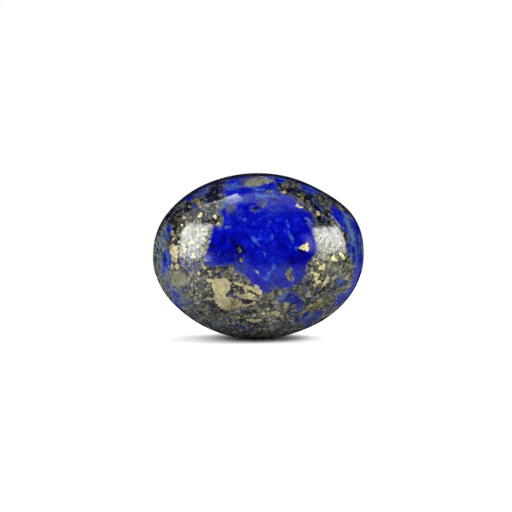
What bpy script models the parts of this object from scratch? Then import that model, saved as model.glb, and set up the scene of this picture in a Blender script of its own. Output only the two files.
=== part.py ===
"""A polished lapis lazuli stone, in metres, +Z up.

One solid piece: a plump oval pebble, domed in front (-Y) and behind (+Y), ground and polished by hand.
It rests on a small flat spot. The origin is on that flat, under the middle of the stone.
"""

import math

import bmesh
import bpy
from mathutils import Matrix, Vector

STONE_NAME = "lapis_lazuli"

# Driving dimensions of the finished stone
WIDTH = 0.0250  # left to right, along X
DEPTH = 0.0156  # front to back, along Y
HEIGHT = 0.0195  # from the flat spot to the crown, along Z

# Form, on a stone of half-width, half-height and half-depth 1
DOME_FULLNESS = 2.25  # exponent of the section from rim to dome: 2 is an ellipse, more is fuller
BACK_SHARE = 0.95  # the back dome's rise as a share of the front dome's
FLAT_CUT = 0.0165  # how much of the half-height the resting flat takes off
FLAT_SNAP = 0.0025  # points this close to the cut move onto it, so the flat's rim has no slivers

# Gentle swells (+) and ground-off flats (-) left by shaping the stone by hand:
# clock angle in degrees from +X towards +Z, lean in degrees towards the back, reach in degrees,
# and rise as a share of the half-width
HAND_SHAPING = (
    (25, 0, 15, 0.038),  # right shoulder
    (345, 0, 14, 0.014),  # fuller right side below the shoulder
    (53, 0, 9, -0.009),  # flat above the right shoulder
    (128, 0, 9, 0.004),  # slight corner left of the crown
    (157, 0, 12, 0.012),  # left shoulder
    (192, 0, 12, 0.006),  # fuller left end
    (226, 0, 12, -0.012),  # flat along the lower left
    (294, 0, 8, -0.014),  # flat to the right of the foot
    (65, 55, 26, -0.022),  # shallow ground spot high on the back
    (205, 50, 28, 0.018),  # fuller lower left of the back
    (20, -60, 24, -0.008),  # slightly flattened right half of the front dome
)

SPHERE_SUBDIVISIONS = 5  # 5120 triangles before the flat is cut

STONE_BLUE = (0.020, 0.035, 0.330, 1.0)
POLISHED_ROUGHNESS = 0.12


def clear_scene():
    for obj in list(bpy.data.objects):
        bpy.data.objects.remove(obj)


def direction_of(clock_deg, lean_deg):
    """Unit vector at a clock angle seen from the front, leaning back (+Y) from the rim."""
    clock = math.radians(clock_deg)
    lean = math.radians(lean_deg)
    return Vector((math.cos(clock) * math.cos(lean), math.sin(lean), math.sin(clock) * math.cos(lean)))


def hand_shaping(direction):
    """How far the hand-made swells and flats move the surface outwards in this direction."""
    rise = 0.0
    for clock_deg, lean_deg, reach_deg, height in HAND_SHAPING:
        off = math.degrees(direction.angle(direction_of(clock_deg, lean_deg)))
        rise += height * math.exp(-0.5 * (off / reach_deg) ** 2)
    return rise


def unit_stone_point(direction):
    """The point of the unit stone that lies in this direction from its middle."""
    rim = math.hypot(direction.x, direction.z)
    size = (rim**DOME_FULLNESS + abs(direction.y) ** DOME_FULLNESS) ** (-1 / DOME_FULLNESS)
    point = direction * size * (1 + hand_shaping(direction))
    if point.y > 0:
        point.y *= BACK_SHARE
    return point


def cut_resting_flat(bm):
    """Grinds the underside off level and closes it."""
    cut_at = Vector((0, 0, -(1 - FLAT_CUT)))
    everything = bm.verts[:] + bm.edges[:] + bm.faces[:]
    bmesh.ops.bisect_plane(
        bm,
        geom=everything,
        dist=FLAT_SNAP,
        plane_co=cut_at,
        plane_no=(0, 0, -1),
        use_snap_center=True,
        clear_outer=True,
    )
    rim = [edge for edge in bm.edges if edge.is_boundary]
    bmesh.ops.edgeloop_fill(bm, edges=rim)
    bmesh.ops.recalc_face_normals(bm, faces=bm.faces[:])


def fit_to_size(bm):
    """Scales the unit stone to its real width, depth and height, with the flat's level at Z 0."""
    low = Vector([min(vert.co[axis] for vert in bm.verts) for axis in range(3)])
    high = Vector([max(vert.co[axis] for vert in bm.verts) for axis in range(3)])
    span = high - low
    foot = Vector(((low.x + high.x) / 2, (low.y + high.y) / 2, low.z))
    scale = Matrix.Diagonal((WIDTH / span.x, DEPTH / span.y, HEIGHT / span.z)).to_4x4()
    bmesh.ops.transform(bm, matrix=scale @ Matrix.Translation(-foot), verts=bm.verts)


def polished_stone_material():
    material = bpy.data.materials.new("polished_lapis")
    material.use_nodes = True
    shader = material.node_tree.nodes["Principled BSDF"]
    shader.inputs["Base Color"].default_value = STONE_BLUE
    shader.inputs["Roughness"].default_value = POLISHED_ROUGHNESS
    shader.inputs["Metallic"].default_value = 0.0
    material.diffuse_color = STONE_BLUE
    return material


def build_stone(collection):
    bm = bmesh.new()
    bmesh.ops.create_icosphere(bm, subdivisions=SPHERE_SUBDIVISIONS, radius=1.0)
    for vert in bm.verts:
        vert.co = unit_stone_point(vert.co.normalized())
    cut_resting_flat(bm)
    fit_to_size(bm)
    mesh = bpy.data.meshes.new(STONE_NAME)
    bm.to_mesh(mesh)
    bm.free()
    mesh.shade_smooth()
    mesh.materials.append(polished_stone_material())
    collection.objects.link(bpy.data.objects.new(STONE_NAME, mesh))


def main():
    clear_scene()
    collection = bpy.data.collections.new("lapis_lazuli_stone")
    bpy.context.scene.collection.children.link(collection)
    build_stone(collection)


main()
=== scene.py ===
"""Looks of a polished lapis lazuli stone: its fine surface, its minerals, a pale floor and a light tent."""

import math
from typing import NamedTuple

import bmesh
import bpy
import numpy as np
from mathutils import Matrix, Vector, noise


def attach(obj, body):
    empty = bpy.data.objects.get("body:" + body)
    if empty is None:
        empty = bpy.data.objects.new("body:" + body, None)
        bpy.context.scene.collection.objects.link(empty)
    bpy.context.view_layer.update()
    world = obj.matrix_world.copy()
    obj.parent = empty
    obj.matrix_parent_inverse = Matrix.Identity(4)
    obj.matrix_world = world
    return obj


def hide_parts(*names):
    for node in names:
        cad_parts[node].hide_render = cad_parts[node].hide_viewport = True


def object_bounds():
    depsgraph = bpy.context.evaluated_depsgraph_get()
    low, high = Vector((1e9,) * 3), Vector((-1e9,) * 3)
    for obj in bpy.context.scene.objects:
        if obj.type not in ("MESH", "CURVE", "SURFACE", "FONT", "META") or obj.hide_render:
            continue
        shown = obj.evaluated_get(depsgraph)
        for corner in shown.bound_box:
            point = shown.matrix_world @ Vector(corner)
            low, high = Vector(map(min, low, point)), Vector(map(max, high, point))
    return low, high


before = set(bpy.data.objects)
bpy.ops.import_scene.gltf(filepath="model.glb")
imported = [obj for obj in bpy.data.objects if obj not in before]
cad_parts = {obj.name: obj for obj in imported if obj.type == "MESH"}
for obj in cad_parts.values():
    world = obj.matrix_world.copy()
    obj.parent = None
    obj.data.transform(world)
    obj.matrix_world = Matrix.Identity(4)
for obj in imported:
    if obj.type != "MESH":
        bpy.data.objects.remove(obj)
cad_low, cad_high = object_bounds()

MM = 0.001
STONE_NODE = "lapis_lazuli"

# The photograph's view of the stone
PHOTO_SIDE = 512  # pixels
LENS = 100.0  # mm
SENSOR = 36.0  # mm
CAMERA_DISTANCE = 0.1685
CAMERA_ELEVATION = 3.0  # degrees above the horizon
STONE_MIDDLE_PX = (258.3, 255.4)  # where the middle of the stone's box lies in the photograph

# Fine mesh
SUBDIVISION_LEVELS = 2
WELD_DISTANCE = 1e-6
FLAT_TOLERANCE = 1e-5

# Reach of the listed markings round the girdle, in mm behind it, before the unseen side takes over
FRONT_ENDS = -0.9
BACK_BEGINS = 1.6

# Irregularity of the markings' edges
WANDER_SEED = 4
GRAIN_SIZE = 0.30  # mm
GRAIN_PULL = 0.5  # share of the way to the grain's middle
ZONE_WANDER = (0.38, 0.45)  # mm, and waves per mm
FLECK_WANDER = (0.14, 1.6)
TAPER = 0.8  # share of a streak's width that it loses at its ends
FIELD_LIMIT = 6.0  # pixels of the photograph
MINGLING_DEPTH = 5.0

# Painted shade: a dark band over the top of the stone along its girdle, standing in for its dark outline; in mm: from
# in front of the girdle to behind it, and its lower ends
RIM_SHADE_FRONT = 2.40
RIM_SHADE_BACK = 0.4
RIM_SHADE_FRONT_RAGGED = 0.4
RIM_SHADE_BACK_RAGGED = 1.0
RIM_SHADE_DEPTH = 2.0  # pixels of the photograph
RIM_SHADE_GAPS = 1.7
RIM_SHADE_LOW = 4.0
RIM_SHADE_HIGH = 18.5


class Patch(NamedTuple):
    """An oval marking on the front, in pixels of the photograph; tilt is anticlockwise as seen."""

    x: float
    y: float
    half_length: float
    half_width: float
    tilt: float = 0.0


class Streak(NamedTuple):
    """A winding marking on the front: half its width, and its middle line in pixels of the photograph."""

    half_width: float
    line: tuple


# Outlines of the lazurite zones, clockwise as seen, in pixels of the photograph
BLUE_CORE = (
    (221, 188), (228, 182), (236, 178), (246, 177), (262, 176), (278, 176), (288, 180), (284, 184), (276, 185),
    (278, 190), (284, 194), (292, 196), (298, 202), (304, 210), (313, 214), (315, 224), (315, 234), (317, 246),
    (314, 258), (308, 266), (307, 274), (302, 280), (296, 285), (291, 290), (280, 289), (270, 292), (260, 290),
    (252, 284), (244, 277), (237, 271), (230, 267), (220, 265), (212, 268), (206, 264), (202, 261),
    (203, 255), (208, 244), (211, 234), (214, 226), (221, 222), (219, 212), (221, 204),
    (226, 198), (223, 193),
)
BLUE_UPPER_LEFT = (
    (184, 202), (192, 194), (200, 188), (208, 183), (218, 180), (221, 184), (212, 187), (204, 191), (193, 199),
)
BLUE_LEFT_BITS = ((191, 206), (195, 202), (198, 204), (194, 211))
BLUE_UPPER_RIGHT = ((300, 183), (308, 183), (320, 189), (326, 194), (316, 194), (306, 191), (300, 188))
BLUE_RIGHT = (
    (328, 206), (334, 205), (344, 212), (352, 218), (358, 228), (364, 246), (364, 262), (360, 282), (352, 296),
    (340, 306), (328, 309), (334, 302), (344, 292), (350, 282), (353, 268), (350, 254), (347, 240), (340, 226),
    (334, 216),
)
BLUE_RIGHT_INNER = ((336, 280), (341, 276), (345, 277), (343, 282), (338, 284))
BLUE_LOWER_RIGHT = ((297, 318), (305, 314), (314, 312), (323, 311), (320, 318), (310, 325), (300, 326))
BLUE_LOWER_MIDDLE = ((280, 300), (288, 293), (298, 292), (303, 299), (300, 311), (294, 304), (286, 303))
BLUE_LEFT = (
    (164, 226), (170, 224), (171, 234), (167, 244), (169, 256), (168, 266), (165, 276), (160, 268), (161, 252),
    (164, 240),
)
BLUE_LOWER_LEFT = ((165, 278), (169, 282), (174, 289), (180, 290), (180, 298), (184, 310), (176, 308), (168, 294))
BLUE_ZONES = (
    BLUE_CORE,
    BLUE_UPPER_LEFT,
    BLUE_LEFT_BITS,
    BLUE_UPPER_RIGHT,
    BLUE_RIGHT,
    BLUE_RIGHT_INNER,
    BLUE_LOWER_RIGHT,
    BLUE_LOWER_MIDDLE,
    BLUE_LEFT,
    BLUE_LOWER_LEFT,
)

# Matrix islands inside the lazurite
MATRIX_ISLANDS = (
    Patch(288, 274, 3.4, 5.4, 0),
    Patch(289, 187, 8, 4, -10),
    Patch(343, 206, 7, 2.5, -42),
    Patch(218, 218, 4, 6, 0),
)

# Pyrite in pale-faced patches, flecks and threads
CREAM_MASS = (
    (213, 281.5), (216, 278), (222, 278.5), (225, 277.5), (230, 281.5), (231, 286), (228, 291.5), (225, 295.5),
    (232, 297.5), (238, 299), (243, 301.5), (242, 305.5), (236, 309), (230, 310), (224, 309.5), (218, 307),
    (215.5, 302), (213, 298), (214.5, 293), (211.5, 289.5), (211.5, 285.5),
)
CREAM_LEFT = (
    (170.5, 246), (173, 243.5), (177, 246), (178.3, 252), (176.5, 256.5), (177.5, 261), (175.5, 264),
    (172.3, 261.5), (170.5, 256), (169.8, 250),
)
CREAM_STAR = (
    (298.5, 247.5), (302, 245), (305.3, 243.3), (307, 241), (308.5, 245.5), (310.2, 248.2), (308.8, 250),
    (307.8, 253), (305.2, 250.8), (301.5, 249.8),
)
CREAM_OUTLINES = (CREAM_MASS, CREAM_LEFT, CREAM_STAR)
CREAM_FLECKS = (
    Patch(200.6, 215.4, 3.0, 2.2, 30),
    Patch(205.8, 213.6, 1.5, 1.1, 0),
    Patch(215.6, 216.8, 2.4, 1.9, -20),
    Patch(183.8, 217.4, 1.7, 1.5, 30),
    Patch(182.6, 225.2, 1.7, 1.4, -30),
    Patch(217.5, 224, 1.8, 1.7, 0),
    Patch(172.5, 233, 1.5, 1.9, 0),
    Patch(173.5, 239, 1.6, 1.6, 0),
    Patch(178, 241, 1.4, 1.2, 0),
    Patch(177, 267, 2.3, 2.8, 0),
    Patch(194, 257, 1.8, 1.4, 20),
    Patch(199, 274, 1.6, 1.3, 0),
    Patch(209, 280.5, 2.6, 2.2, 30),
    Patch(298, 205.6, 1.6, 1.4, 0),
    Patch(318.3, 212.6, 1.9, 3.0, 20),
    Patch(284.5, 191.9, 2.0, 1.3, -15),
    Patch(288.4, 277.6, 1.4, 1.2, 0),
    Patch(332, 259.5, 2.0, 1.3, 15),
    Patch(343, 259, 2.2, 1.5, -20),
    Patch(310, 305.8, 2.9, 2.1, 20),
    Patch(319.5, 300.8, 2.4, 1.6, 20),
    Patch(304, 310.5, 1.8, 1.4, 0),
    Patch(286, 305.6, 2.3, 1.9, 0),
    Patch(347.3, 278.5, 1.7, 2.5, 0),
    Patch(282, 317, 2.2, 1.5, 0),
    Patch(196, 293, 1.3, 1.2, 0),
)
CREAM_THREADS = (
    Streak(1.9, ((234.5, 282.5), (242, 286), (248.5, 287.3), (254, 290), (259, 293))),
    Streak(1.6, ((237, 295.2), (245, 296.2), (251, 294.6), (257, 296))),
    Streak(1.4, ((244, 298.6), (251, 298.3), (258, 300))),
    Streak(1.2, ((245.5, 287), (245, 295.5))),
    Streak(1.3, ((243, 306), (250, 304.5), (256, 302))),
    Streak(1.6, ((252, 284.5), (258, 288), (261, 292), (260, 299))),
    Streak(2.0, ((246, 320), (254, 321), (262.5, 320))),
    Streak(2.2, ((260.5, 314), (265, 312))),
    Streak(1.4, ((266.5, 310.5), (269, 308.5))),
    Streak(2.1, ((271, 313), (280, 313.5))),
    Streak(1.3, ((236, 317), (241, 318.5))),
    Streak(1.2, ((203.5, 300), (208, 298), (213, 299))),
    Streak(1.2, ((190, 294), (192, 296))),
    Streak(0.9, ((184.5, 271.5), (188, 275.5), (189.5, 281), (187.5, 286))),
    Streak(1.2, ((202, 264.5), (205, 269))),
    Streak(1.1, ((207, 270), (211.5, 276))),
    Streak(0.9, ((299, 206.5), (302.5, 208))),
    Streak(1.2, ((255, 270), (259, 274))),
    Streak(1.3, ((317.6, 262.4), (321.5, 268))),
    Streak(1.4, ((328, 261.4), (321.5, 268))),
    Streak(1.1, ((318.4, 268.6), (325, 269.0))),
    Streak(1.5, ((311, 272.2), (315.5, 274), (320.5, 275.8))),
    Streak(1.4, ((316.8, 275), (314.6, 281.5))),
    Streak(1.3, ((320, 276), (323, 280.5))),
    Streak(1.1, ((314.5, 281.5), (320, 282.4))),
    Streak(1.2, ((314.2, 282), (314.5, 287))),
    Streak(1.5, ((329.5, 277), (321.5, 287.6))),
    Streak(1.4, ((331, 257.5), (334, 256))),
    Streak(1.6, ((339, 252), (342, 256), (344, 260))),
    Streak(1.2, ((335, 261), (338, 259))),
)

# Dull gold and olive pyrite
GOLD_PATCHES = (
    Patch(240, 249.5, 1.6, 1.9, 0),
    Patch(241.5, 260.5, 1.4, 1.6, 0),
    Patch(200.5, 204, 2.8, 3.6, -15),
    Patch(196.3, 200, 1.7, 1.4, 0),
    Patch(175.5, 236, 2.0, 3.6, -25),
    Patch(283.3, 186, 2.0, 1.4, 0),
    Patch(293.3, 185.6, 2.2, 1.4, 0),
    Patch(269.5, 192.5, 3.0, 1.2, -5),
    Patch(322, 198.8, 3.2, 1.6, -30),
    Patch(327, 208.8, 2.4, 1.9, -20),
    Patch(288.3, 273.6, 2.4, 3.8, 0),
    Patch(286, 306, 3.2, 3.2, 0),
    Patch(313, 291, 2.0, 2.4, 0),
)
GOLD_THREADS = (
    Streak(1.4, ((298, 193.5), (301, 197), (303, 202))),
    Streak(1.2, ((301, 197), (306, 194))),
    Streak(1.5, ((338, 204.5), (344, 211))),
    Streak(1.7, ((348, 279), (350, 272), (351.5, 265))),
    Streak(1.3, ((168.5, 275), (168.5, 280), (172, 285))),
    Streak(1.5, ((186, 293), (190, 297))),
    Streak(1.7, ((205, 313.5), (211, 314.5), (216, 316.5))),
    Streak(1.4, ((228, 315), (234, 318))),
    Streak(2.8, ((299, 316), (308, 309.5), (318, 305), (327, 301), (336, 296))),
)

# Pale, dull calcite
PALE_OUTLINES = (
    (
        (244, 185), (249, 180.5), (256, 177.5), (266, 176.8), (275, 179.5), (271, 182.5), (264, 184), (258, 186),
        (248, 186.5),
    ),
)
PALE_PATCHES = (
    Patch(179.5, 279, 9.5, 8.5, -20),
    Patch(185.5, 231, 3, 8, -15),
)

# Grey-green cloudy patches
MOSS_PATCHES = (
    Patch(230.5, 208, 6.0, 4.2, 62),
    Patch(262.5, 203.5, 5.0, 3.2, -10),
    Patch(255.5, 210.5, 3.4, 1.8, 0),
    Patch(219, 221, 3.6, 7.0, 0),
    Patch(270, 297.5, 7.0, 4.4, 0),
    Patch(302.5, 291, 7.6, 4.2, 0),
    Patch(283, 290, 8.0, 2.6, -12),
    Patch(181, 204, 3.5, 5.0, -30),
    Patch(325, 295, 6.0, 4.0, 25),
    Patch(250, 180.5, 9.0, 3.4, 10),
    Patch(284, 325, 8.0, 3.0, 10),
    Patch(207, 306, 6.0, 4.0, 0),
    Patch(325, 270, 7.0, 5.0, 0),
)

# Light blue streaks
SKY_STREAKS = (
    Streak(1.1, ((251.5, 236.5), (255, 240.5), (258.5, 245.5))),
    Streak(1.0, ((286.5, 221), (288, 226))),
    Streak(1.1, ((289, 231), (290.5, 236.5), (293, 242))),
    Streak(1.0, ((272.5, 234.5), (272.5, 240))),
    Streak(1.2, ((263, 280), (268, 275), (273, 270))),
    Streak(1.0, ((273.5, 263), (274, 269))),
    Streak(1.0, ((243.5, 217), (244, 222.5))),
    Streak(0.9, ((263, 278.5), (271, 281))),
    Streak(1.8, ((229, 187.5), (237, 183.5))),
    Streak(1.1, ((252, 188), (265, 190))),
    Streak(1.2, ((306, 185.5), (318, 191.5))),
    Streak(1.6, ((255, 194.5), (264, 198.5))),
    Streak(0.9, ((296, 246.5), (297, 250.5))),
    Streak(0.9, ((264, 251.5), (265, 255.5))),
)

# Teal-grey streaks, most of them along the rim
TEAL_STREAKS = (
    Streak(1.8, ((342, 210), (346, 217), (349, 226), (352, 236), (353.5, 245))),
    Streak(1.7, ((162, 229), (161, 240), (159, 252))),
    Streak(1.6, ((159, 252), (160, 262), (163, 272))),
    Streak(1.6, ((339, 283), (342, 279), (344.5, 276))),
    Streak(1.6, ((298.5, 314.5), (301, 318), (304.5, 323))),
    Streak(1.9, ((180, 289), (182.5, 298), (188, 308))),
    Streak(1.7, ((165.5, 268), (169, 280), (173, 290))),
    Streak(1.3, ((279, 300), (284, 297), (288, 291))),
    Streak(1.7, ((213, 322), (220, 323.5), (228, 326))),
    Streak(1.5, ((352, 252), (351, 262))),
    Streak(1.3, ((224, 228), (230, 226))),
    Streak(1.3, ((217.5, 254.5), (220, 255.5))),
    Streak(1.6, ((215, 214), (221, 207), (226, 203))),
    Streak(1.5, ((305, 217), (310, 222), (311, 228))),
    Streak(1.4, ((290, 326), (300, 322))),
)

# Dark inclusions
DARK_PATCHES = (
    Patch(240, 247.5, 2.8, 3.0, 0),
    Patch(243.8, 251.5, 2.0, 3.2, 20),
    Patch(238.6, 253, 1.8, 2.2, 0),
    Patch(240.5, 259.5, 2.6, 3.2, 10),
    Patch(232, 241, 1.9, 1.6, 0),
    Patch(235.5, 245.5, 1.6, 1.3, 0),
    Patch(256.5, 209, 3.2, 2.0, 10),
    Patch(292, 262, 2.4, 1.8, 0),
    Patch(212, 246, 2.2, 1.8, 0),
    Patch(234.2, 287, 3.2, 3.6, -40),
    Patch(241.8, 291.3, 3.8, 3.2, 0),
    Patch(249, 291.4, 3.0, 2.8, 0),
    Patch(247.5, 301.4, 4.2, 2.5, -5),
    Patch(255, 299.5, 2.2, 1.8, 0),
    Patch(213, 193.5, 9.0, 2.6, 20),
    Patch(219, 184.5, 6.0, 1.5, 25),
    Patch(308, 201, 5.0, 3.4, -40),
    Patch(316, 206.5, 4.0, 2.4, -40),
    Patch(317, 285.5, 1.4, 1.4, 0),
    Patch(212, 305, 4.0, 2.0, -30),
    Patch(222, 312, 7.0, 1.8, -8),
    Patch(250, 312, 8.0, 2.4, 8),
    Patch(271, 305.5, 3.4, 2.0, 0),
)
DARK_CURLS = (
    Streak(1.5, ((203.5, 216), (201.5, 219.5), (204, 222.5), (208.5, 221.5), (209, 218))),
    Streak(1.6, ((205, 203.5), (212, 200.5), (222, 197.5))),
    Streak(1.7, ((210, 220), (218, 221))),
    Streak(1.2, ((177, 228.5), (172, 235), (169.5, 244))),
    Streak(1.2, ((344, 230), (346.5, 240), (347, 252))),
    Streak(2.4, ((227.5, 292.5), (233.5, 291.3), (238.5, 292.6))),
    Streak(1.2, ((322, 290), (331, 281.5))),
    Streak(2.0, ((277, 182), (281, 187), (288, 190), (298, 190))),
    Streak(1.3, ((297.5, 250), (303, 252.5), (306, 256))),
    Streak(1.2, ((205, 281), (212, 276), (220, 274))),
)

# Soft changes over the front: x, y and reach in pixels of the photograph, and the change at the middle
# the rows for the underside hold painted light
MATRIX_TONES_AND_UNDERSIDE_LIGHT = (  # how light the matrix is
    (180, 278, 16, 0.14),
    (192, 222, 12, 0.08),
    (200, 240, 16, 0.16),
    (190, 270, 10, 0.06),
    (328, 258, 16, 0.23),
    (330, 240, 16, 0.16),
    (322, 276, 10, 0.13),
    (213, 194, 14, -0.24),
    (180, 204, 12, -0.28),
    (170, 220, 10, -0.18),
    (196, 208, 7, -0.12),
    (310, 198, 16, -0.20),
    (330, 214, 10, -0.20),
    (326, 222, 6, -0.06),
    # painted light: the matrix is lighter along the underside, standing in for light from the floor
    (240, 314, 16, 0.07),
    (270, 328, 24, 0.24),
    (192, 302, 12, 0.06),
    (205, 286, 14, 0.06),
    (345, 262, 8, -0.10),
)
BLUE_IN_MATRIX = (  # how much lazurite shows through the matrix
    (192, 264, 9, 0.22),
    (262, 326, 26, -0.06),
    (245, 326, 8, 0.17),
    (276, 328, 8, 0.17),
    (292, 302, 16, 0.12),
    (215, 322, 14, 0.02),
    (176, 300, 10, 0.10),
    (238, 294, 8, 0.12),
    (206, 196, 14, 0.10),
    (316, 204, 14, 0.02),
    (335, 220, 10, 0.02),
    (325, 262, 14, -0.06),
    (185, 235, 20, -0.10),
)
BLUE_TONES = (  # how bright the lazurite is
    (282, 226, 16, 0.05),
    (262, 244, 12, 0.03),
    (250, 184, 14, -0.02),
    (228, 189, 7, 0.03),
    (268, 282, 12, 0.06),
    (216, 252, 10, -0.09),
    (240, 250, 8, -0.10),
    (303, 256, 9, -0.12),
    (290, 262, 8, -0.06),
    (308, 230, 8, -0.04),
    (340, 215, 8, 0.04),
    (302, 318, 14, -0.15),
    (345, 297, 12, -0.13),
    (265, 328, 16, -0.12),
    (290, 301, 10, -0.15),
    (238, 268, 9, -0.07),
    (262, 286, 9, -0.04),
    (160, 258, 14, -0.06),
    (358, 250, 10, -0.08),
    (353, 272, 10, -0.06),
    (197, 190, 14, -0.18),
    (322, 200, 14, -0.14),
)
SPECK_SPOTS = (  # how thickly pyrite specks lie in the matrix
    (226, 292, 18, 0.16),
    (252, 300, 14, 0.14),
    (180, 248, 12, 0.22),
    (200, 212, 14, 0.08),
    (326, 268, 16, 0.16),
    (300, 198, 10, 0.08),
    (272, 313, 14, 0.14),
    (312, 305, 12, 0.12),
    (207, 272, 10, 0.14),
    (346, 270, 7, 0.20),
)
PYRITE_TONES = (  # how pale the pyrite is
    (305, 248, 7, 0.46),
    (320, 266, 9, 0.44),
    (316, 280, 9, 0.50),
    (340, 256, 9, 0.24),
    (300, 206, 8, 0.36),
    (202, 214, 12, 0.22),
    (176, 252, 10, 0.02),
    (252, 292, 9, 0.24),
    (233, 303, 4, -0.16),
    (221, 290, 9, 0.22),
    (272, 313, 12, 0.24),
    (252, 321, 8, 0.22),
    (205, 270, 9, 0.10),
)
MINGLING = (  # how far matrix and lazurite run into each other
    (353, 244, 16, 1.0),
    (350, 285, 20, 0.8),
    (160, 250, 16, 1.0),
    (170, 300, 16, 0.9),
    (300, 186, 12, 0.4),
    (238, 187, 16, 0.95),
    (272, 188, 14, 0.8),
    (200, 194, 12, 0.8),
    (196, 262, 10, 0.8),
    (235, 268, 10, 0.4),
    (275, 325, 26, 1.0),
    (215, 320, 16, 0.7),
    (290, 300, 14, 0.9),
    (306, 317, 12, 0.8),
)


def camera_axes():
    """The camera's place and its right, up and forward directions."""
    lean = math.radians(CAMERA_ELEVATION)
    middle = (np.array(cad_low) + np.array(cad_high)) / 2
    forward = np.array([0.0, math.cos(lean), -math.sin(lean)])
    right = np.array([1.0, 0.0, 0.0])
    up = np.cross(right, forward)
    metres_per_pixel = CAMERA_DISTANCE * SENSOR / LENS / PHOTO_SIDE
    aim = middle - right * (STONE_MIDDLE_PX[0] - PHOTO_SIDE / 2) * metres_per_pixel
    aim = aim + up * (STONE_MIDDLE_PX[1] - PHOTO_SIDE / 2) * metres_per_pixel
    return aim - forward * CAMERA_DISTANCE, right, up, forward


def photo_pixels(points):
    """Where points, in metres, fall in the photograph."""
    place, right, up, forward = camera_axes()
    seen = points - place
    scale = PHOTO_SIDE * LENS / SENSOR / (seen @ forward)
    return PHOTO_SIDE / 2 + (seen @ right) * scale, PHOTO_SIDE / 2 - (seen @ up) * scale


def smooth_step(value, low, high):
    t = np.clip((value - low) / (high - low), 0.0, 1.0)
    return t * t * (3 - 2 * t)


def fine_stone_mesh():
    """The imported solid's surface, smoothly subdivided, with the rim of its flat kept crisp."""
    bm = bmesh.new()
    bm.from_mesh(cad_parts[STONE_NODE].data)
    bmesh.ops.remove_doubles(bm, verts=bm.verts, dist=WELD_DISTANCE)
    crease = bm.edges.layers.float.new("crease_edge")
    for edge in bm.edges:
        levels = [all(vert.co.z < FLAT_TOLERANCE for vert in face.verts) for face in edge.link_faces]
        if len(set(levels)) == 2:
            edge[crease] = 1.0
    coarse = bpy.data.meshes.new("stone_coarse")
    bm.to_mesh(coarse)
    bm.free()
    holder = bpy.data.objects.new("stone_coarse", coarse)
    bpy.context.scene.collection.objects.link(holder)
    smooth = holder.modifiers.new("smooth", "SUBSURF")
    smooth.levels = SUBDIVISION_LEVELS
    smooth.render_levels = SUBDIVISION_LEVELS
    smooth.use_limit_surface = True
    graph = bpy.context.evaluated_depsgraph_get()
    mesh = bpy.data.meshes.new_from_object(holder.evaluated_get(graph))
    bpy.data.objects.remove(holder)
    bpy.data.meshes.remove(coarse)
    mesh.name = "polished_stone"
    return mesh


def read_points(mesh):
    flat = np.empty(len(mesh.vertices) * 3, dtype=np.float32)
    mesh.vertices.foreach_get("co", flat)
    return flat.reshape(-1, 3).astype(float)


def wandering(points_mm, size, frequency, seed):
    """A smooth random vector at each point."""
    shift = Vector((seed * 17.3, seed * 5.1, seed * 9.7))
    return size * np.array([noise.noise_vector(Vector(p) * frequency + shift) for p in points_mm])


def grain_middles(points_mm, size):
    """The middle of the mineral grain that each point lies in."""
    return size * np.array([noise.voronoi(Vector(p) / size)[1][0] for p in points_mm])


def distance_to_line(x, y, line):
    """Distance in pixels to a line through the given points, and how many stretches along it that is."""
    nearest = np.full(x.shape, np.inf)
    stretches = np.zeros(x.shape)
    for number, ((x0, y0), (x1, y1)) in enumerate(zip(line, line[1:])):
        along_x = x1 - x0
        along_y = y1 - y0
        share = np.clip(((x - x0) * along_x + (y - y0) * along_y) / (along_x**2 + along_y**2), 0, 1)
        distance = np.hypot(x - x0 - share * along_x, y - y0 - share * along_y)
        stretches = np.where(distance < nearest, number + share, stretches)
        nearest = np.minimum(nearest, distance)
    return nearest, stretches


def inside_outline(x, y, outline):
    """Distance to an outline in pixels, positive inside it."""
    closed = outline + outline[:1]
    inside = np.zeros(x.shape, dtype=bool)
    for (x0, y0), (x1, y1) in zip(closed, closed[1:]):
        if y0 != y1:
            crosses = ((y0 > y) != (y1 > y)) & (x < x0 + (y - y0) * (x1 - x0) / (y1 - y0))
            inside ^= crosses
    distance, _ = distance_to_line(x, y, closed)
    return np.where(inside, distance, -distance)


def inside_streak(x, y, streak):
    """Distance to the edge of a streak that tapers off at both ends, positive inside it."""
    distance, stretches = distance_to_line(x, y, streak.line)
    from_middle = np.abs(2 * stretches / (len(streak.line) - 1) - 1)
    return streak.half_width * (1 - TAPER * from_middle**3) - distance


def inside_patch(x, y, patch):
    """Roughly the distance to an oval patch's edge in pixels, positive inside it."""
    tilt = math.radians(patch.tilt)
    right = x - patch.x
    up = patch.y - y
    along = (right * math.cos(tilt) + up * math.sin(tilt)) / patch.half_length
    across = (up * math.cos(tilt) - right * math.sin(tilt)) / patch.half_width
    return (1 - np.hypot(along, across)) * min(patch.half_length, patch.half_width)


def union(x, y, outlines=(), patches=(), streaks=()):
    """How deep every point lies inside the nearest of these markings, in pixels, negative outside."""
    inside = [inside_outline(x, y, outline) for outline in outlines]
    inside += [inside_patch(x, y, patch) for patch in patches]
    inside += [inside_streak(x, y, streak) for streak in streaks]
    return np.max(inside, axis=0)


def soft_spots(x, y, spots):
    total = np.zeros(x.shape)
    for at_x, at_y, reach, change in spots:
        total += change * np.exp(-0.5 * ((x - at_x) ** 2 + (y - at_y) ** 2) / reach**2)
    return total


def cloud(points_mm, frequency, seed):
    """Smooth noise of about -1 to 1."""
    shift = Vector((seed * 7.3, seed * 3.1, seed * 11.9))
    return np.array([noise.fractal(Vector(p) * frequency + shift, 0.9, 2.1, 4) for p in points_mm])


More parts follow.
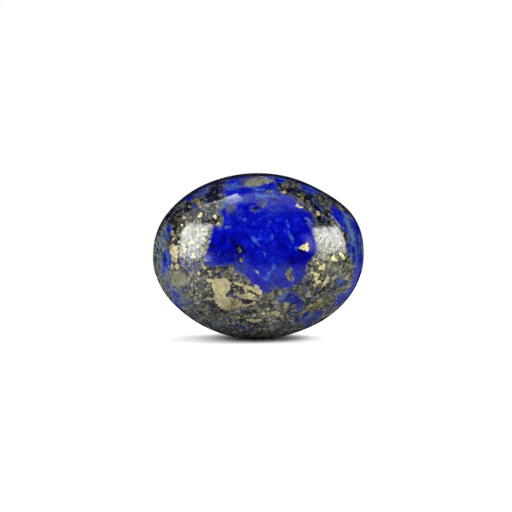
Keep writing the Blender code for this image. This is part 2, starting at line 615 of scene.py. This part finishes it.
def hidden_minerals(zone_mm, fleck_mm, soft_mm):
    """The same minerals on the sides and back, which the photograph doesn't show."""
    upright_mm = soft_mm * (1, 1, 2.2)
    level_mm = soft_mm * (2.2, 1, 1)
    return {
        "matrix": 13 * cloud(zone_mm, 0.17, 3),
        "cream": 9 * (cloud(fleck_mm, 0.5, 4) - 0.68),
        "gold": 9 * (cloud(fleck_mm, 0.6, 6) - 0.72),
        "pale": 9 * (cloud(soft_mm, 0.25, 7) - 0.66),
        "moss": 9 * (cloud(soft_mm, 0.3, 17) - 0.42),
        "sky": 9 * (cloud(level_mm, 0.5, 19) - 0.78),
        "teal": 9 * (cloud(upright_mm, 0.3, 8) - 0.55),
        "dark": 9 * (cloud(fleck_mm, 0.6, 9) - 0.62),
        "tone": 0.24 * cloud(zone_mm, 0.22, 10),
        "blueness": 0.10 * cloud(zone_mm, 0.3, 11),
        "bright": 0.06 * cloud(zone_mm, 0.3, 12),
        "specks": 0.02 + 0.16 * cloud(zone_mm, 0.25, 13),
        "mingling": 0.5,
        "shine": 0.1,
    }


def add_painted_rim_shade(points_mm, fields):
    """Painted shade: a ragged dark band along the girdle over the top of the stone, standing in for its dark outline,
    thinning out down the sides.
    """
    width = smooth_step(points_mm[:, 2], RIM_SHADE_LOW, RIM_SHADE_HIGH)
    front = RIM_SHADE_FRONT * width + RIM_SHADE_FRONT_RAGGED * cloud(points_mm, 0.45, 15)
    back = RIM_SHADE_BACK * width + RIM_SHADE_BACK_RAGGED * cloud(points_mm, 0.35, 16)
    depth = np.minimum(points_mm[:, 1] + front, back - points_mm[:, 1])
    pixels = depth * MM / (CAMERA_DISTANCE * SENSOR / LENS / PHOTO_SIDE)
    broken = np.minimum(pixels, RIM_SHADE_DEPTH) + RIM_SHADE_GAPS * cloud(points_mm, 0.8, 18)
    # the painted shade band along the top girdle goes into the dark inclusions' field
    fields["dark"] = np.maximum(fields["dark"], broken)


def mineral_fields(points):
    """How deep inside each mineral every point lies, in pixels of the photograph, negative outside."""
    points_mm = points / MM
    soft_mm = points_mm + wandering(points_mm, *FLECK_WANDER, seed=2)
    zone_mm = soft_mm + wandering(points_mm, *ZONE_WANDER, seed=1)
    zone_mm = zone_mm + GRAIN_PULL * (grain_middles(zone_mm, GRAIN_SIZE) - zone_mm)
    fleck_mm = soft_mm + GRAIN_PULL * (grain_middles(soft_mm, GRAIN_SIZE) - soft_mm)
    zone = photo_pixels(zone_mm * MM)
    fleck = photo_pixels(fleck_mm * MM)
    soft = photo_pixels(soft_mm * MM)
    place = photo_pixels(points)
    blue = union(*zone, BLUE_ZONES)
    shown = {
        "matrix": np.maximum(-blue, union(*zone, patches=MATRIX_ISLANDS)),
        "cream": union(*fleck, CREAM_OUTLINES, CREAM_FLECKS, CREAM_THREADS),
        "gold": union(*fleck, (), GOLD_PATCHES, GOLD_THREADS),
        "pale": union(*soft, PALE_OUTLINES, PALE_PATCHES),
        "moss": union(*soft, (), MOSS_PATCHES),
        "sky": union(*fleck, streaks=SKY_STREAKS),
        "teal": union(*fleck, streaks=TEAL_STREAKS),
        "dark": union(*fleck, (), DARK_PATCHES, DARK_CURLS),
        "tone": soft_spots(*place, MATRIX_TONES_AND_UNDERSIDE_LIGHT),
        "blueness": soft_spots(*place, BLUE_IN_MATRIX),
        "bright": soft_spots(*place, BLUE_TONES),
        "specks": soft_spots(*place, SPECK_SPOTS),
        "mingling": soft_spots(*place, MINGLING),
        "shine": soft_spots(*place, PYRITE_TONES),
    }
    hidden = hidden_minerals(zone_mm, fleck_mm, soft_mm)
    unseen = smooth_step(points_mm[:, 1], FRONT_ENDS, BACK_BEGINS)
    fields = {name: shown[name] * (1 - unseen) + hidden[name] * unseen for name in shown}
    fields["matrix"] += MINGLING_DEPTH * fields["mingling"] * cloud(zone_mm, 0.55, 14)
    # painted shade: a dark band along the girdle over the top of the stone
    add_painted_rim_shade(points_mm, fields)
    return fields


def store_fields(mesh, fields):
    for name, values in fields.items():
        layer = mesh.attributes.new(name, "FLOAT", "POINT")
        layer.data.foreach_set("value", np.clip(values, -FIELD_LIMIT, FIELD_LIMIT).astype(np.float32))


class Shader:
    """Short calls for making and linking material nodes."""

    def __init__(self, material):
        material.use_nodes = True
        self.tree = material.node_tree
        self.surface = self.tree.nodes["Principled BSDF"]

    def node(self, kind, inputs=None, **settings):
        made = self.tree.nodes.new(kind)
        for name, value in settings.items():
            setattr(made, name, value)
        for name, value in (inputs or {}).items():
            self.feed(value, made.inputs[name])
        return made

    def feed(self, value, socket):
        if isinstance(value, bpy.types.NodeSocket):
            self.tree.links.new(value, socket)
        else:
            socket.default_value = value

    def math(self, operation, a, b=0.0):
        return self.node("ShaderNodeMath", {0: a, 1: b}, operation=operation).outputs[0]

    def vector(self, operation, a, b):
        made = self.node("ShaderNodeVectorMath", {0: a}, operation=operation)
        self.feed(b, made.inputs["Scale"] if operation == "SCALE" else made.inputs[1])
        return made.outputs[0]

    def channels(self, color):
        return self.node("ShaderNodeSeparateColor", {"Color": color}).outputs

    def field(self, name):
        return self.node("ShaderNodeAttribute", attribute_name=name).outputs["Fac"]

    def noise(self, where, scale, detail=3.0, roughness=0.55, distortion=0.0):
        inputs = {"Vector": where, "Scale": scale, "Detail": detail, "Roughness": roughness, "Distortion": distortion}
        return self.node("ShaderNodeTexNoise", inputs).outputs["Fac"]

    def cells(self, where, scale, feature="F1"):
        return self.node("ShaderNodeTexVoronoi", {"Vector": where, "Scale": scale}, feature=feature)

    def ramp(self, value, low, high, out_low=0.0, out_high=1.0):
        inputs = {"Value": value, "From Min": low, "From Max": high, "To Min": out_low, "To Max": out_high}
        return self.node("ShaderNodeMapRange", inputs, interpolation_type="SMOOTHSTEP").outputs[0]

    def mix(self, share, a, b):
        made = self.node("ShaderNodeMix", data_type="RGBA")
        self.feed(share, made.inputs[0])
        self.feed(a, made.inputs[6])
        self.feed(b, made.inputs[7])
        return made.outputs[2]

    def colors(self, value, stops):
        made = self.node("ShaderNodeValToRGB", {"Fac": value})
        elements = made.color_ramp.elements
        while len(elements) < len(stops):
            elements.new(0.5)
        for element, (place, color) in zip(elements, stops):
            element.position = place
            element.color = (*color, 1.0)
        return made.outputs["Color"]


# Colours of the minerals, as reflectances
LAZURITE = (
    (0.15, (0.0004, 0.0004, 0.075)),
    (0.36, (0.0008, 0.0009, 0.175)),
    (0.50, (0.0013, 0.0020, 0.275)),
    (0.62, (0.0022, 0.0052, 0.345)),
    (0.76, (0.0085, 0.0230, 0.410)),
    (0.95, (0.0330, 0.0750, 0.470)),
)
MATRIX = (
    (0.08, (0.0016, 0.0018, 0.0040)),
    (0.28, (0.0090, 0.0105, 0.0170)),
    (0.44, (0.034, 0.037, 0.030)),
    (0.58, (0.066, 0.069, 0.046)),
    (0.72, (0.112, 0.115, 0.088)),
    (0.86, (0.190, 0.186, 0.150)),
    (0.99, (0.340, 0.320, 0.240)),
)
PYRITE = (
    (0.15, (0.130, 0.100, 0.045)),
    (0.36, (0.270, 0.220, 0.120)),
    (0.50, (0.430, 0.370, 0.225)),
    (0.66, (0.500, 0.435, 0.275)),
    (0.88, (0.690, 0.625, 0.310)),
)
CALCITE = (
    (0.25, (0.085, 0.083, 0.052)),
    (0.45, (0.170, 0.168, 0.112)),
    (0.62, (0.220, 0.216, 0.152)),
    (0.85, (0.290, 0.280, 0.200)),
)
OLD_GOLD = (
    (0.20, (0.040, 0.039, 0.020)),
    (0.50, (0.160, 0.148, 0.072)),
    (0.80, (0.330, 0.305, 0.180)),
)
MILKY_BLUE = (
    (0.24, (0.0040, 0.0070, 0.045)),
    (0.42, (0.0085, 0.0150, 0.145)),
    (0.56, (0.0240, 0.0430, 0.200)),
    (0.68, (0.0480, 0.0850, 0.230)),
    (0.82, (0.0950, 0.1450, 0.280)),
)
SKY_BLUE = (0.040, 0.100, 0.400, 1.0)
STEEL = (0.045, 0.075, 0.125, 1.0)
TEAL = (0.080, 0.135, 0.210, 1.0)
MOSS = (0.082, 0.088, 0.062, 1.0)
INCLUSION = (0.0020, 0.0023, 0.0036, 1.0)

# Grain sizes, as grains or waves per millimetre
BIG_GRAINS = 2.4
SMALL_GRAINS = 4.8
CROOKED_GRAINS = 0.32  # mm that the grains' edges wander
GRAIN_TILT = 0.03  # how unevenly the rock's grains are polished
GLOSS_FADE = (0.48, 0.76)  # how far the surface turns edge-on, from 0 to 1, while its gloss fades
FIRST_SPECK = 0.93  # grains with a higher random value are pyrite, fewer where the specks lie thickly


def spread(s, base, *parts):
    """base plus each (value, weight), where a value is random about 0.5."""
    for value, weight in parts:
        base = s.math("ADD", base, s.math("MULTIPLY", s.math("SUBTRACT", value, 0.5), weight))
    return base


def stone_material():
    material = bpy.data.materials.new("polished_lapis")
    s = Shader(material)
    object_place = s.node("ShaderNodeTexCoord").outputs["Object"]
    place = s.vector("SCALE", object_place, 1 / MM)
    wobble = s.node("ShaderNodeTexNoise", {"Vector": place, "Scale": 2.4, "Detail": 3.0}).outputs["Color"]
    wobble = s.vector("SCALE", s.vector("SUBTRACT", wobble, (0.5, 0.5, 0.5)), 2 * CROOKED_GRAINS)
    crooked = s.vector("ADD", place, wobble)
    big = s.channels(s.cells(crooked, BIG_GRAINS).outputs["Color"])
    small_cells = s.cells(crooked, SMALL_GRAINS).outputs["Color"]
    small = s.channels(small_cells)
    fine = s.noise(place, 5.0, 3.0, 0.6)
    soft = s.noise(place, 1.1, 6.0, 0.68, 0.4)
    broad = s.noise(place, 0.45, 3.0, 0.6)
    threads = s.noise(place, 1.8, 4.0, 0.65, 0.5)

    def inside(name, softness, ragged):
        edge = spread(
            s, s.field(name), (small[0], ragged), (big[1], ragged), (fine, 1.8 * ragged), (threads, 2.4 * ragged)
        )
        return s.ramp(edge, -softness, softness)

    blue_tone = spread(
        s, s.math("ADD", s.field("bright"), 0.485), (big[0], 0.16), (small[0], 0.14), (soft, 0.98), (fine, 0.34)
    )
    blue = s.colors(blue_tone, LAZURITE)
    rock_tone = spread(
        s, s.math("ADD", s.field("tone"), 0.5), (big[1], 0.46), (small[1], 0.44), (soft, 1.1), (fine, 0.6)
    )
    rock = s.colors(rock_tone, MATRIX)
    bands = s.noise(s.vector("MULTIPLY", place, (0.4, 1.5, 0.4)), 1.0, 4.0, 0.6, 0.4)
    milk_tone = spread(s, 0.5, (bands, 1.3), (threads, 0.9), (fine, 0.5), (small[0], 0.12))
    milk = s.colors(milk_tone, MILKY_BLUE)
    seep = spread(s, s.field("blueness"), (threads, 1.0), (big[2], 0.22))
    seeping_blue = s.mix(0.35, s.mix(s.ramp(broad, 0.40, 0.60), blue, milk), rock)
    rock = s.mix(s.ramp(seep, 0.09, 0.14), rock, seeping_blue)
    matrix = inside("matrix", 0.9, 1.7)
    milkiness = s.math("MULTIPLY", s.field("mingling"), s.ramp(bands, 0.36, 0.54))
    blue = s.mix(s.math("MULTIPLY", milkiness, 0.85), blue, milk)
    color = s.mix(matrix, blue, rock)
    seam = s.ramp(s.math("ABSOLUTE", s.math("ADD", s.field("matrix"), 0.6)), 1.6, 0.0)
    color = s.mix(s.math("MULTIPLY", seam, 0.28), color, STEEL)
    color = s.mix(s.math("MULTIPLY", inside("moss", 2.2, 1.6), 0.75), color, s.mix(0.35, MOSS, rock))
    pale_tone = spread(s, 0.5, (small[0], 0.15), (soft, 1.1), (fine, 0.35))
    pale_color = s.mix(0.12, s.colors(pale_tone, CALCITE), rock)
    color = s.mix(s.math("MULTIPLY", inside("pale", 1.4, 1.3), 0.9), color, pale_color)
    color = s.mix(s.math("MULTIPLY", inside("teal", 1.4, 1.3), 0.75), color, TEAL)
    color = s.mix(s.math("MULTIPLY", inside("sky", 1.4, 1.1), 0.75), color, SKY_BLUE)
    # dark inclusions, and the painted shade band along the top girdle
    color = s.mix(s.math("MULTIPLY", inside("dark", 1.1, 1.2), 0.92), color, s.mix(0.04, INCLUSION, blue))

    speck_chance = s.math("SUBTRACT", FIRST_SPECK, s.field("specks"))
    speck_grains = s.ramp(s.math("SUBTRACT", big[2], speck_chance), 0.0, 0.02)
    specks = s.math("MULTIPLY", speck_grains, s.math("MULTIPLY", matrix, s.ramp(small[2], 0.35, 0.40)))
    gold = inside("gold", 0.5, 1.0)
    cream = inside("cream", 0.35, 0.7)
    shade = s.math("MULTIPLY", s.ramp(spread(s, s.field("cream"), (fine, 2.0)), -1.9, -0.7), 0.62)
    color = s.mix(s.math("MULTIPLY", shade, matrix), color, INCLUSION)
    gold_tone = spread(s, 0.5, (small[1], 0.5), (fine, 0.9), (big[0], 0.3))
    color = s.mix(s.math("MAXIMUM", gold, specks), color, s.colors(gold_tone, OLD_GOLD))
    cream_tone = spread(
        s, s.math("ADD", s.field("shine"), 0.5), (small[2], 0.25), (big[0], 0.3), (soft, 0.9), (fine, 0.8)
    )
    color = s.mix(cream, color, s.colors(cream_tone, PYRITE))
    metal = s.math("MAXIMUM", cream, s.math("MAXIMUM", gold, specks))
    grain_tilt = s.vector("SCALE", s.vector("SUBTRACT", small_cells, (0.5, 0.5, 0.5)), GRAIN_TILT)
    rocky = s.math("MAXIMUM", matrix, metal)
    grain_tilt = s.vector("SCALE", grain_tilt, rocky)
    upright = s.node("ShaderNodeNewGeometry").outputs["Normal"]
    s.feed(s.vector("NORMALIZE", s.vector("ADD", upright, grain_tilt), (0.0, 0.0, 0.0)), s.surface.inputs["Normal"])
    polish = s.math("MULTIPLY", rocky, spread(s, 0.0, (threads, 0.9), (fine, 0.4), (small[1], 0.2)))
    edge_on = s.node("ShaderNodeLayerWeight", {"Blend": 0.5}).outputs["Facing"]
    gloss = s.ramp(edge_on, *GLOSS_FADE, 1.0, 0.0)
    s.feed(s.math("MULTIPLY", s.math("ADD", polish, 0.5), gloss), s.surface.inputs["Specular IOR Level"])
    s.feed(color, s.surface.inputs["Base Color"])
    s.feed(s.math("MULTIPLY", metal, 0.5), s.surface.inputs["Metallic"])
    s.feed(s.ramp(metal, 0.0, 1.0, 0.05, 0.30), s.surface.inputs["Roughness"])
    s.surface.inputs["IOR"].default_value = 1.5
    return material


def make_stone():
    mesh = fine_stone_mesh()
    store_fields(mesh, mineral_fields(read_points(mesh)))
    mesh.shade_smooth()
    mesh.materials.clear()
    mesh.materials.append(stone_material())
    stone = bpy.data.objects.new("polished_stone", mesh)
    bpy.context.scene.collection.objects.link(stone)
    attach(stone, "root")
    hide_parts(STONE_NODE)
    return stone


# The studio. Azimuth is from the camera's side, + to the right; both angles are in degrees, seen from the stone
def studio_point(azimuth_deg, elevation_deg, distance=0.30):
    azimuth = math.radians(azimuth_deg)
    elevation = math.radians(elevation_deg)
    level = math.cos(elevation)
    out = Vector((math.sin(azimuth) * level, -math.cos(azimuth) * level, math.sin(elevation)))
    return Vector((0, 0, cad_high.z / 2)) + out * distance


class Panel(NamedTuple):
    """A glowing cloth: corners and their brightness, clockwise from upper left as the stone sees it."""

    name: str
    corners: tuple
    glow: tuple
    soft_edge: float  # share of the cloth over which its light fades out at each side


CEILING_HEIGHT = 0.30
PANELS = (
    Panel(
        "left_softbox",
        (studio_point(-80, 33), studio_point(-33, 34), studio_point(-38, -5), studio_point(-67, -4)),
        (12.5, 13.5, 7.0, 10.0),
        0.14,
    ),
    Panel(
        "right_softbox",
        (studio_point(43, 30), studio_point(89, 29), studio_point(90, 1), studio_point(38, 1)),
        (14.5, 15.0, 6.8, 5.6),
        0.16,
    ),
    Panel(
        "left_haze",
        (studio_point(-42, 8), studio_point(-26, 4), studio_point(-26, -12), studio_point(-42, -12)),
        (5.0, 2.0, 1.0, 3.6),
        0.45,
    ),
    Panel(
        "right_haze",
        (studio_point(29, 22), studio_point(44, 26), studio_point(44, -2), studio_point(29, 4)),
        (0.9, 3.8, 3.8, 0.9),
        0.50,
    ),
    Panel("right_strip", (studio_point(91, 44), studio_point(94, 44), studio_point(94, 24), studio_point(91, 24)), (6.0,) * 4, 0.3),
    Panel(
        "ceiling",
        (
            Vector((-0.22, -0.03, CEILING_HEIGHT)),
            Vector((0.26, -0.03, CEILING_HEIGHT)),
            Vector((0.26, -0.165, CEILING_HEIGHT)),
            Vector((-0.22, -0.165, CEILING_HEIGHT)),
        ),
        (1.6, 0.75, 0.55, 0.8),
        0.16,
    ),
    Panel(
        "left_ceiling",
        (
            Vector((-0.40, 0.09, CEILING_HEIGHT)),
            Vector((-0.10, -0.050, CEILING_HEIGHT)),
            Vector((-0.18, -0.28, CEILING_HEIGHT)),
            Vector((-0.44, -0.12, CEILING_HEIGHT)),
        ),
        (0.9, 1.8, 1.9, 1.3),
        0.05,
    ),
    Panel(
        "ceiling_edge",
        (
            Vector((-0.215, -0.030, CEILING_HEIGHT)),
            Vector((-0.115, -0.052, CEILING_HEIGHT)),
            Vector((-0.115, -0.066, CEILING_HEIGHT)),
            Vector((-0.215, -0.044, CEILING_HEIGHT)),
        ),
        (10.0, 20.0, 20.0, 10.0),
        0.10,
    ),
    Panel(
        "ceiling_corner",
        (
            Vector((-0.130, -0.048, CEILING_HEIGHT)),
            Vector((-0.062, -0.016, CEILING_HEIGHT)),
            Vector((-0.040, -0.110, CEILING_HEIGHT)),
            Vector((-0.110, -0.150, CEILING_HEIGHT)),
        ),
        (12.0, 27.0, 6.0, 4.0),
        0.12,
    ),
)
PANEL_CELLS = 20

# Lights for the floor alone: one overhead, a pair behind and a pair at the sides, the right ones stronger
OVERHEAD_WIDTH = 80  # degrees
OVERHEAD_STRENGTH = 3.0
BACK_AZIMUTH = 120
BACK_ELEVATION = 25
BACK_WIDTH = 60
BACK_STRENGTHS = (4.0, 3.5)  # right and left
SIDE_AZIMUTH = 90
SIDE_ELEVATION = 40
SIDE_WIDTH = 25
SIDE_STRENGTHS = (2.5, 1.5)
FLOOR_RADIUS = 0.115
FLOOR_SIDES = 128
FLOOR_SEEN = 0.80
FLOOR_MIRRORED = 0.17
FLOOR_BOUNCE = 0.27
FLOOR_FADE = (0.040, 0.112)  # radii between which the mirrored floor darkens

ROOM_SEEN = 1.0
ROOM_LIGHT = 0.25
ROOM_MIRRORED = 0.0


def light_only(source, things):
    """Keeps a light's rays to the given objects."""
    receivers = bpy.data.collections.new("lit_by_" + source.name)
    for thing in things:
        receivers.objects.link(thing)
    source.light_linking.receiver_collection = receivers


def across(corners, right, down):
    """The value at a place between four corners, clockwise from upper left."""
    upper = corners[0] * (1 - right) + corners[1] * right
    lower = corners[3] * (1 - right) + corners[2] * right
    return upper * (1 - down) + lower * down


def glow_material():
    material = bpy.data.materials.new("glowing_cloth")
    material.use_nodes = True
    tree = material.node_tree
    tree.nodes.clear()
    glow = tree.nodes.new("ShaderNodeAttribute")
    glow.attribute_name = "glow"
    light = tree.nodes.new("ShaderNodeEmission")
    out = tree.nodes.new("ShaderNodeOutputMaterial")
    tree.links.new(glow.outputs["Fac"], light.inputs["Strength"])
    tree.links.new(light.outputs["Emission"], out.inputs["Surface"])
    return material


def add_panel(panel, material, stone):
    bm = bmesh.new()
    glow = bm.verts.layers.float.new("glow")
    bmesh.ops.create_grid(bm, x_segments=PANEL_CELLS, y_segments=PANEL_CELLS, size=0.5)
    for vert in bm.verts:
        right = vert.co.x + 0.5
        down = 0.5 - vert.co.y
        fade = [float(smooth_step(rim, -0.001, panel.soft_edge)) for rim in (right, 1 - right, down, 1 - down)]
        vert[glow] = across(panel.glow, right, down) * math.prod(fade)
        vert.co = across(panel.corners, right, down)
    mesh = bpy.data.meshes.new(panel.name)
    bm.to_mesh(mesh)
    bm.free()
    mesh.materials.append(material)
    cloth = bpy.data.objects.new(panel.name, mesh)
    cloth.visible_camera = False
    cloth.visible_shadow = False
    bpy.context.scene.collection.objects.link(cloth)
    light_only(cloth, [stone])


def add_floor_lights(floor):
    lights = [(0, 90, OVERHEAD_WIDTH, OVERHEAD_STRENGTH)]
    for side, back_strength, side_strength in zip((1, -1), BACK_STRENGTHS, SIDE_STRENGTHS):
        lights.append((side * BACK_AZIMUTH, BACK_ELEVATION, BACK_WIDTH, back_strength))
        lights.append((side * SIDE_AZIMUTH, SIDE_ELEVATION, SIDE_WIDTH, side_strength))
    for azimuth, elevation, width, strength in lights:
        light = bpy.data.lights.new("floor_light", "SUN")
        light.energy = strength
        light.angle = math.radians(width)
        lamp = bpy.data.objects.new("floor_light", light)
        towards = studio_point(azimuth, elevation) - Vector((0, 0, cad_high.z / 2))
        lamp.rotation_mode = "QUATERNION"
        lamp.rotation_quaternion = towards.to_track_quat("Z", "Y")
        bpy.context.scene.collection.objects.link(lamp)
        light_only(lamp, [floor])


def make_floor():
    """A round white table top, darker in the stone's mirror image and in its bounced light."""
    mesh = bpy.data.meshes.new("floor")
    bm = bmesh.new()
    bmesh.ops.create_circle(bm, cap_ends=True, segments=FLOOR_SIDES, radius=FLOOR_RADIUS)
    bm.to_mesh(mesh)
    bm.free()
    material = bpy.data.materials.new("floor")
    s = Shader(material)
    place = s.node("ShaderNodeTexCoord").outputs["Object"]
    radius = s.node("ShaderNodeVectorMath", {0: place}, operation="LENGTH").outputs["Value"]
    rays = s.node("ShaderNodeLightPath").outputs
    mirrored = s.ramp(radius, *FLOOR_FADE, FLOOR_MIRRORED, 0.0)
    white = s.mix(rays["Is Glossy Ray"], (FLOOR_BOUNCE,) * 3 + (1.0,), mirrored)
    white = s.mix(rays["Is Camera Ray"], white, (FLOOR_SEEN,) * 3 + (1.0,))
    s.feed(white, s.surface.inputs["Base Color"])
    s.surface.inputs["Roughness"].default_value = 1.0
    s.surface.inputs["Specular IOR Level"].default_value = 0.0
    mesh.materials.append(material)
    floor = bpy.data.objects.new("floor", mesh)
    bpy.context.scene.collection.objects.link(floor)
    return floor


def make_room():
    """White all round for the camera, soft for the stone, and dark where the stone mirrors it."""
    world = bpy.data.worlds.new("room")
    world.use_nodes = True
    bpy.context.scene.world = world
    tree = world.node_tree
    rays = tree.nodes.new("ShaderNodeLightPath")
    background = tree.nodes["Background"]
    background.inputs["Color"].default_value = (1.0, 1.0, 1.0, 1.0)
    lit = tree.nodes.new("ShaderNodeMix")
    lit.inputs["A"].default_value = ROOM_LIGHT
    lit.inputs["B"].default_value = ROOM_MIRRORED
    tree.links.new(rays.outputs["Is Glossy Ray"], lit.inputs["Factor"])
    seen = tree.nodes.new("ShaderNodeMix")
    seen.inputs["B"].default_value = ROOM_SEEN
    tree.links.new(rays.outputs["Is Camera Ray"], seen.inputs["Factor"])
    tree.links.new(lit.outputs["Result"], seen.inputs["A"])
    tree.links.new(seen.outputs["Result"], background.inputs["Strength"])


def make_camera():
    place, right, up, forward = camera_axes()
    camera = bpy.data.cameras.new("camera")
    camera.lens = LENS
    camera.sensor_width = SENSOR
    camera.clip_start = 0.01
    camera.clip_end = 10.0
    holder = bpy.data.objects.new("camera", camera)
    holder.location = place
    holder.rotation_mode = "QUATERNION"
    holder.rotation_quaternion = Vector(-forward).to_track_quat("Z", "Y")
    bpy.context.scene.collection.objects.link(holder)
    bpy.context.scene.camera = holder
    bpy.context.scene.view_settings.view_transform = "Standard"


noise.seed_set(WANDER_SEED)
make_camera()
make_room()
stone = make_stone()
add_floor_lights(make_floor())
cloth_material = glow_material()
for panel in PANELS:
    add_panel(panel, cloth_material, stone)
